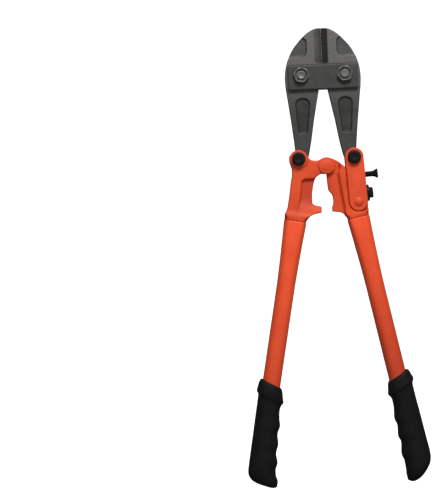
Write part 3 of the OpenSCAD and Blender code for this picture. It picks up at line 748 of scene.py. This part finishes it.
def make_yoke_left():
    F = Field((-64, -208, -13), (16, -95, 13), 0.5)
    # the plate is thinner than its ears and rises to the collar of the tube
    s, t = F.along(-1)
    step = lambda a, b: (lambda q: q * q * (3 - 2 * q))(np.clip((s - a) / (b - a), 0, 1))
    H = 9.9 + 1.7 * step(59.5, 67.5)
    d2 = F.poly(YL)
    a, b = d2 + 2.0, F.az - H + 2.0
    d = np.minimum(np.maximum(a, b), 0) + np.hypot(np.maximum(a, 0), np.maximum(b, 0)) - 2.0
    d = smin(d, F.slab(F.disc(T1, 12), -EAR, EAR, 1.6), 3.0)
    d = smin(d, F.slab(F.disc(C, 11.0), -EAR, EAR, 0.5), 2.0)
    # pocket, open to the window; its floor ramps up to the stop and the collar
    p = F.poly([[-34.5, -137.5, 7], [-8, -137.5], [-4, -196], [-30, -196], [-42.5, -186, 8], [-37.8, -163, 60]]) + 0.30 * (H - F.az)
    floor = 5.6 + (H + 0.6 - 5.6) * step(40, 65)
    p = smax(p, floor - F.az, 2.6)
    d = smax(d, -p, 1.6)
    d = collar(F, d, -1, SEAM[0])
    f = np.minimum(F.disc(T1, 11.6), np.maximum(F.disc(T1, 15), F.poly([[-60, -113.6], [-10, -113.6], [-10, -90], [-60, -90]])))
    f = np.minimum(f, F.poly([[-60, TY - 11.6], [-TX, TY - 11.6], [-TX, -90], [-60, -90]]))
    g = F.link(C, 11.2, (-5.5, CY - 2.6), 11.4)
    g = np.minimum(g, F.poly([[0, CY - 14.5], [20, CY - 14.5], [20, CY + 14], [-3, CY + 14], [-12, CY + 14]]))
    for cut in (f, g):
        d = smax(d, -np.maximum(cut, F.az - SLOT), 0.5)
    d = np.maximum(d, 5.1 - F.disc(T1, 0))
    d = np.maximum(d, 5.1 - F.disc(C, 0))
    pts, faces, nrm = surface(F, d, 0.05)
    build("yoke_casting_left", pts, faces, "handle_left", M_CAST, ("yoke_left",), nrm)


def pin_path(F):
    """Sweep of the centre pin in the tongue of the right yoke, over its travel and the arm's swing."""
    rot = lambda a, v: np.array([v[0] * math.cos(a) - v[1] * math.sin(a), v[0] * math.sin(a) + v[1] * math.cos(a)])
    j1, j2 = np.array([-PIVOT, 0.0]), np.array([PIVOT, 0.0])
    t1, t2, c, p = (np.array(v, float) for v in (T1, T2, C, P))
    d = None
    for swing in (-0.6, 0.0, 0.6):
        path = []
        for q in np.radians(np.linspace(0, 58.86, 16)):
            a = 0.17516 * q
            pin = j1 + rot(a, t1 - j1) + rot(a - q, c - t1)
            pr = j2 + rot(-a, t2 - j2) + rot(q - a, p - t2)
            path.append(p + rot(-(q - a - math.radians(swing)), pin - pr))
        for a, b in zip(path, path[1:]):
            seg = F.capsule(a, b, 5.2)
            d = seg if d is None else np.minimum(d, seg)
    return d


def make_yoke_right():
    F = Field((-12, -208, -13), (66, -95, 13), 0.5)
    rib = F.slab(F.poly(RIB), -EAR, EAR, 1.7)
    # drafted flank towards the web
    s, t = F.along(1)
    q = np.clip((s - 54) / 10, 0, 1)
    lean = 0.62 * (1 - q * q * (3 - 2 * q))
    xl = np.interp(-F.y.ravel(), [115, 127, 140, 155, 170, 182, 189.5, 200],
                   [12.6, 12.4, 14.2, 16.2, 18.4, 20.6, 23.6, 22.0]).astype(np.float32)[None, :, None]
    rib = smax(rib, (xl - F.x + lean * (F.az - CORE)) * 0.85, 1.4)
    rec = F.link(C, 12, (5.5, CY - 2.6), 12.2)
    rib = smax(rib, -np.maximum(rec, CORE - F.az), 0.6)
    web = F.slab(F.poly(WEB), -CORE, CORE, 1.1)
    eye = F.slab(F.disc(C, 10.2), -CORE, CORE, 0.5)
    seat = F.slab(F.poly(SEAT), -CORE, CORE, 0.5)
    web = np.minimum(smin(web, eye, 1.0), seat)
    # fillet between rib and web, but not where the arm swings
    d = np.where(F.x < 24.5, smin(rib, web, 2.2), np.minimum(rib, web))
    d = collar(F, d, 1, SEAM[1])
    d = smax(d, -pin_path(F), 0.3)
    d = np.maximum(d, 4.58 - F.disc(P, 0))
    v, w = F.arm(LOCK_S)
    d = np.maximum(d, -np.maximum(np.hypot(v, F.z) - 4.06, -11.4 - w))
    pts, faces, nrm = surface(F, d, 0.05)
    build("yoke_casting_right", pts, faces, "handle_right", M_CAST, ("yoke_right",), nrm)


def make_arm():
    F = Field((22, -186, -12.4), (55.5, -96, 12.4), 0.45)
    e = EAR - 0.5
    d = F.slab(F.capsule(T2, P, ARM_R), -e, e, 1.7)
    v, w = F.arm(0)
    inner = np.maximum(np.abs(w) - 30, np.abs(v + 30) - 60)
    bridge = np.maximum(np.maximum(8.4 - w, v + 13.5), -56.2 - v)
    chan = np.maximum(np.maximum(inner, -bridge), F.az - SLOT)
    d = smax(d, -chan, 0.8)
    d = np.maximum(d, 5.1 - F.disc(T2, 0))
    d = np.maximum(d, 4.55 - F.disc(P, 0))
    for s, r in ((SCREW_S, 4.08), (LOCK_S, 4.85)):
        v, w = F.arm(s)
        d = np.maximum(d, -np.maximum(np.hypot(v, F.z) - r, -w))
    pts, faces, nrm = surface(F, d, 0.05)
    build("adjuster_arm_casting", pts, faces, "adjuster", M_CAST, ("adjuster_arm",), nrm)


# ---------------------------------------------------------------------------
# Tubes and grips: lofts along the handles
# ---------------------------------------------------------------------------
def loft(rings, closed_end=False):
    """Rings of equal length joined in order, each to the next; closed_end is not used."""
    n, m = len(rings[0]), len(rings)
    pts = np.concatenate(rings)
    faces = []
    for j in range(m - 1):
        for i in range(n):
            k = (i + 1) % n
            faces.append((j * n + i, j * n + k, (j + 1) * n + k, (j + 1) * n + i))
    return pts, faces


def cap(pts, faces, ring_index, n, flip):
    """Closes a ring with a fan of triangles round a centre."""
    base = ring_index * n
    c = pts[base:base + n].mean(0)
    pts = np.vstack([pts, c])
    ci = len(pts) - 1
    for i in range(n):
        f = (base + i, base + (i + 1) % n, ci)
        faces.append(f[::-1] if flip else f)
    return pts, faces


def outward(pts, faces):
    p = np.asarray(pts)
    v = 0.0
    for f in faces:
        for k in range(1, len(f) - 1):
            v += np.dot(p[f[0]], np.cross(p[f[k]], p[f[k + 1]]))
    return faces if v > 0 else [f[::-1] for f in faces]


def make_tube(side):
    k = 0 if side < 0 else 1
    tag = ("left", "right")[k]
    s0, n = SEAM[k], 96
    th = np.linspace(0, 2 * math.pi, n, endpoint=False)
    ct, st = np.cos(th), np.sin(th)

    def outer(s, inset=0.0):
        u = min(max((s - s0) / (FLARE_END - s0), 0), 1)
        R = TUBE_R + 3.0 * (1 - u) ** 1.6
        T = 11.3 + (TUBE_R - 11.3) * u
        q = 14
        rho = (R ** -q + (np.maximum(np.abs(st), 1e-4) / T) ** q) ** (-1 / q) - inset
        return np.stack([rho * ct, rho * st, np.full(n, s)], 1)

    ri = TUBE_R - TUBE_WALL
    circle = lambda r, s: np.stack([r * ct, r * st, np.full(n, s)], 1)
    rings = [circle(ri, s0)]
    lip = 1.0
    for a in np.linspace(0, math.pi / 2, 6):
        rings.append(outer(s0 - 0.2 + lip * (1 - math.cos(a)), lip * (1 - math.sin(a))))
    for s in np.concatenate([np.linspace(s0 + 2.2, FLARE_END, 56), np.linspace(FLARE_END + 5, TUBE_END - 0.6, 46)]):
        rings.append(outer(s))
    rings.append(circle(TUBE_R - 0.5, TUBE_END))
    rings.append(circle(ri + 0.2, TUBE_END))
    for s in np.linspace(TUBE_END - 0.6, s0 + 1.0, 60):
        rings.append(circle(ri, s))
    pts, faces = loft(rings)
    m, base = len(rings), 0
    for i in range(n):
        j = (i + 1) % n
        faces.append(((m - 1) * n + i, (m - 1) * n + j, j, i))
    faces = outward(pts, faces)
    build(f"handle_tube_{tag}", pts, faces, f"handle_{tag}", M_TUBE, (f"tube_{tag}",), None, along_matrix(side))


GRIP_L = [
    [292, 13.2, 13.2, 13.4, -0.34], [293, 14.6, 14.8, 15, -0.34], [303, 17.8, 17.4, 17.4, -0.33],
    [309.5, 19.4, 18, 17.8, -0.31], [313, 18, 15.4, 16.6, -0.28], [319, 16.4, 15.1, 16, -0.16],
    [326, 15.9, 15, 16, 0], [338, 17.4, 14.9, 16.4, 0], [347, 19.4, 14.8, 16.8, 0], [357, 17.7, 14.6, 16.6, 0],
    [372, 20.6, 14.5, 17.2, 0], [382, 19.5, 14.4, 17.2, 0], [397, 23.3, 14.2, 18, 0], [404, 22.1, 14.1, 18, 0],
    [411.5, 23.8, 13.8, 17.6, -0.06], [418, 27.4, 12.6, 16.6, -0.1], [422.5, 27.4, 9.6, 14, -0.15],
    [425.8, 23.6, 4, 9, -0.16], [426.8, 19, -2, 4, -0.16]]
GRIP_R = [
    [289, 13.2, 13.2, 13.4, -0.4], [290, 14.4, 15, 15, -0.4], [299, 16.8, 18.4, 17.4, -0.38],
    [304.5, 18, 19.9, 17.8, -0.35], [308.5, 16.4, 17.2, 16.6, -0.3], [316, 14.5, 16.9, 16, -0.16],
    [324, 14.5, 16.9, 16, 0], [334, 15.8, 17.2, 16.4, 0], [344, 17.5, 17.4, 16.8, 0], [353, 15.9, 17.5, 16.6, 0],
    [368, 18.2, 17.6, 17.2, 0], [375, 16.4, 17.7, 17.2, 0], [393, 19.6, 18.1, 18, 0], [401, 18.1, 17.8, 18, 0],
    [411, 18.6, 15.6, 17.6, -0.06], [418, 19.6, 11, 16.2, -0.1], [424, 19.6, 4.6, 13.4, -0.12],
    [428.4, 16.4, -3, 8, -0.1], [429.8, 13.6, -7.6, 3.6, -0.1]]


def spline(st, s):
    """Monotone cubic interpolation of the stations' columns at s."""
    x = np.array([g[0] for g in st], float)
    out = [s]
    for c in range(1, 5):
        y = np.array([g[c] for g in st], float)
        h, dl = np.diff(x), np.diff(y) / np.diff(x)
        m = np.zeros_like(y)
        for i in range(1, len(x) - 1):
            if dl[i - 1] * dl[i] > 0:
                w1, w2 = 2 * h[i] + h[i - 1], h[i] + 2 * h[i - 1]
                m[i] = (w1 + w2) / (w1 / dl[i - 1] + w2 / dl[i])
        m[0], m[-1] = dl[0], dl[-1]
        i = int(min(max(np.searchsorted(x, s) - 1, 0), len(x) - 2))
        t = (s - x[i]) / h[i]
        out.append((1 + 2 * t) * (1 - t) ** 2 * y[i] + t * (1 - t) ** 2 * h[i] * m[i]
                   + t * t * (3 - 2 * t) * y[i + 1] + t * t * (t - 1) * h[i] * m[i + 1])
    return out


def make_grip(side):
    k = 0 if side < 0 else 1
    tag, st = ("left", "right")[k], (GRIP_L, GRIP_R)[k]
    n = 144
    th = -np.linspace(0, 2 * math.pi, n, endpoint=False)
    ct, sn = np.cos(th), np.sin(th)
    sc = np.sign(ct) * np.abs(ct) ** (2 / 2.3)
    ss = np.sign(sn) * np.abs(sn) ** (2 / 2.3)
    # parting line of the mould, along both edges
    ridge = 0.22 * np.exp(-(np.degrees(np.abs(np.abs((th % math.pi) - math.pi / 2) - math.pi / 2)) / 1.6) ** 2)

    def ring(g, edge=1.0):
        s, i, o, hh, sl = g
        c, w = (o - i) / 2, (o + i) / 2
        t = c + (w + ridge * edge * np.sign(1)) * sc * side
        return np.stack([side * t, hh * ss, s + sl * t], 1)

    def bore(s, sl, r=TUBE_R + 0.06):
        t = r * ct * side
        return np.stack([side * t, r * sn, s + sl * t], 1)

    first, last = st[0], st[-1]
    ss_ = list(np.concatenate([np.linspace(first[0], first[0] + 1.2, 5)[:-1], np.arange(first[0] + 1.2, 404, 0.85),
                              np.linspace(404, last[0] - 3, 34), last[0] - 3 + 3 * np.sin(np.linspace(0.05, 1, 12) * math.pi / 2)]))
    rings = [ring(spline(st, float(s))) for s in ss_]
    # heel closes in over a small dome
    e = rings[-1]
    mid = e.mean(0)
    for f in (0.8, 0.55, 0.28):
        q = mid + (e - mid) * f
        q[:, 2] += 0.35 * (1 - f)
        rings.append(q)
    m1 = len(rings)
    pts, faces = loft(rings)
    pts, faces = cap(pts, faces, m1 - 1, n, True)
    # lip and bore
    inner = [bore(first[0] + 0.15, first[4])] + [bore(s, first[4]) for s in np.linspace(first[0] + 1.2, 395, 18)] + [bore(TUBE_END, 0.0)]
    base = len(pts)
    ipts, ifaces = loft(inner)
    pts = np.vstack([pts, ipts])
    faces += [tuple(base + v for v in f[::-1]) for f in ifaces]
    for i in range(n):
        j = (i + 1) % n
        faces.append((j, i, base + i, base + j))
    last_base = base + (len(inner) - 1) * n
    c = pts[last_base:last_base + n].mean(0)
    pts = np.vstack([pts, c])
    ci = len(pts) - 1
    for i in range(n):
        faces.append((last_base + (i + 1) % n, last_base + i, ci)[::-1])
    faces = outward(pts, faces)
    build(f"grip_moulding_{tag}", pts, faces, f"handle_{tag}", M_RUBBER, (f"grip_{tag}",), None, along_matrix(side))


make_blade("left")
make_blade("right")
make_straps()
make_jaw_bolts()
make_tail_bolts()
make_pins()
make_adjusting_screw()
make_lock_bolt()
make_yoke_left()
make_yoke_right()
make_arm()
for side in (-1, 1):
    make_tube(side)
    make_grip(side)


# ---------------------------------------------------------------------------
# Studio: pale floor, soft light from the upper right, camera straight above
# ---------------------------------------------------------------------------
def make_stage():
    me = bpy.data.meshes.new("studio_floor")
    s = 8.0
    me.from_pydata([(-s, -s, 0), (s, -s, 0), (s, s, 0), (-s, s, 0)], [], [(0, 1, 2, 3)])
    n = Nodes("studio_floor")
    col = n.ramp(n.noise(3, 2, 0.5), [(0.3, 0.90), (0.7, 0.93)])
    rough = n.range(n.noise(20, 2, 0.5), 0.3, 0.7, 0.85, 0.95)
    me.materials.append(n.done(col, rough, None, Specular_IOR_Level=0.1))
    floor = bpy.data.objects.new("studio_floor", me)
    floor.location.z = -0.0002
    # a pale floor to the camera, but no bounce: the photograph's edges are dark
    floor.visible_diffuse = False
    floor.visible_glossy = False
    bpy.context.scene.collection.objects.link(floor)
    floor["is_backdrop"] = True
    return floor


def area(name, where, target, size, power, colour=(1, 1, 1)):
    li = bpy.data.lights.new(name, "AREA")
    li.shape, li.size, li.energy, li.color = "SQUARE", size, power, colour
    ob = bpy.data.objects.new(name, li)
    ob.location = where
    ob.rotation_mode = "QUATERNION"
    ob.rotation_quaternion = (Vector(target) - Vector(where)).to_track_quat("-Z", "Y")
    bpy.context.scene.collection.objects.link(ob)
    return ob


floor = make_stage()


def lights_only(light, objs, name):
    col = bpy.data.collections.new(name)
    for o in objs:
        col.objects.link(o)
    light.light_linking.receiver_collection = col
    return col


key = area("key", (0.25, 1.60, 1.35), (0, 0, 0), 0.65, 50)
lights_only(key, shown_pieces(), "key_receivers")
wash = area("floor_wash", (-0.15, -1.2, 2.9), (-0.15, 0, 0), 2.0, 150)
wash.light_linking.blocker_collection = lights_only(wash, [floor], "wash_receivers")
# tent light: bright overhead, falling off to the sides
world = bpy.data.worlds.new("studio")
world.use_nodes = True
wt = world.node_tree
bg = wt.nodes["Background"]
co = wt.nodes.new("ShaderNodeTexCoord")
sep = wt.nodes.new("ShaderNodeSeparateXYZ")
wt.links.new(co.outputs["Generated"], sep.inputs[0])
up = wt.nodes.new("ShaderNodeMath")
up.operation = "MAXIMUM"
up.inputs[1].default_value = 0.0
wt.links.new(sep.outputs[2], up.inputs[0])
pw = wt.nodes.new("ShaderNodeMath")
pw.operation = "POWER"
pw.inputs[1].default_value = 4.0
wt.links.new(up.outputs[0], pw.inputs[0])
mr = wt.nodes.new("ShaderNodeMapRange")
mr.inputs["To Min"].default_value = 0.20
mr.inputs["To Max"].default_value = 0.72
wt.links.new(pw.outputs[0], mr.inputs["Value"])
lp = wt.nodes.new("ShaderNodeLightPath")
mx = wt.nodes.new("ShaderNodeMix")
wt.links.new(lp.outputs["Is Camera Ray"], mx.inputs[0])
wt.links.new(mr.outputs["Result"], mx.inputs[2])
mx.inputs[3].default_value = 0.93
bg.inputs["Color"].default_value = (1, 1, 1, 1)
wt.links.new(mx.outputs[0], bg.inputs["Strength"])
scene = bpy.context.scene
scene.world = world
scene.view_settings.view_transform = "Standard"

cam_data = bpy.data.cameras.new("camera")
cam_data.type = "PERSP"
cam_data.lens = 150
cam_data.sensor_width = 36
cam_data.sensor_fit = "AUTO"
cam_data.clip_start, cam_data.clip_end = 0.05, 20
cam = bpy.data.objects.new("camera", cam_data)
cam.location = (-0.1463, 0.0206, 0.018 + 2.733)
cam.rotation_euler = (0, 0, math.radians(-2.45))
scene.collection.objects.link(cam)
scene.camera = cam

bpy.context.view_layer.update()
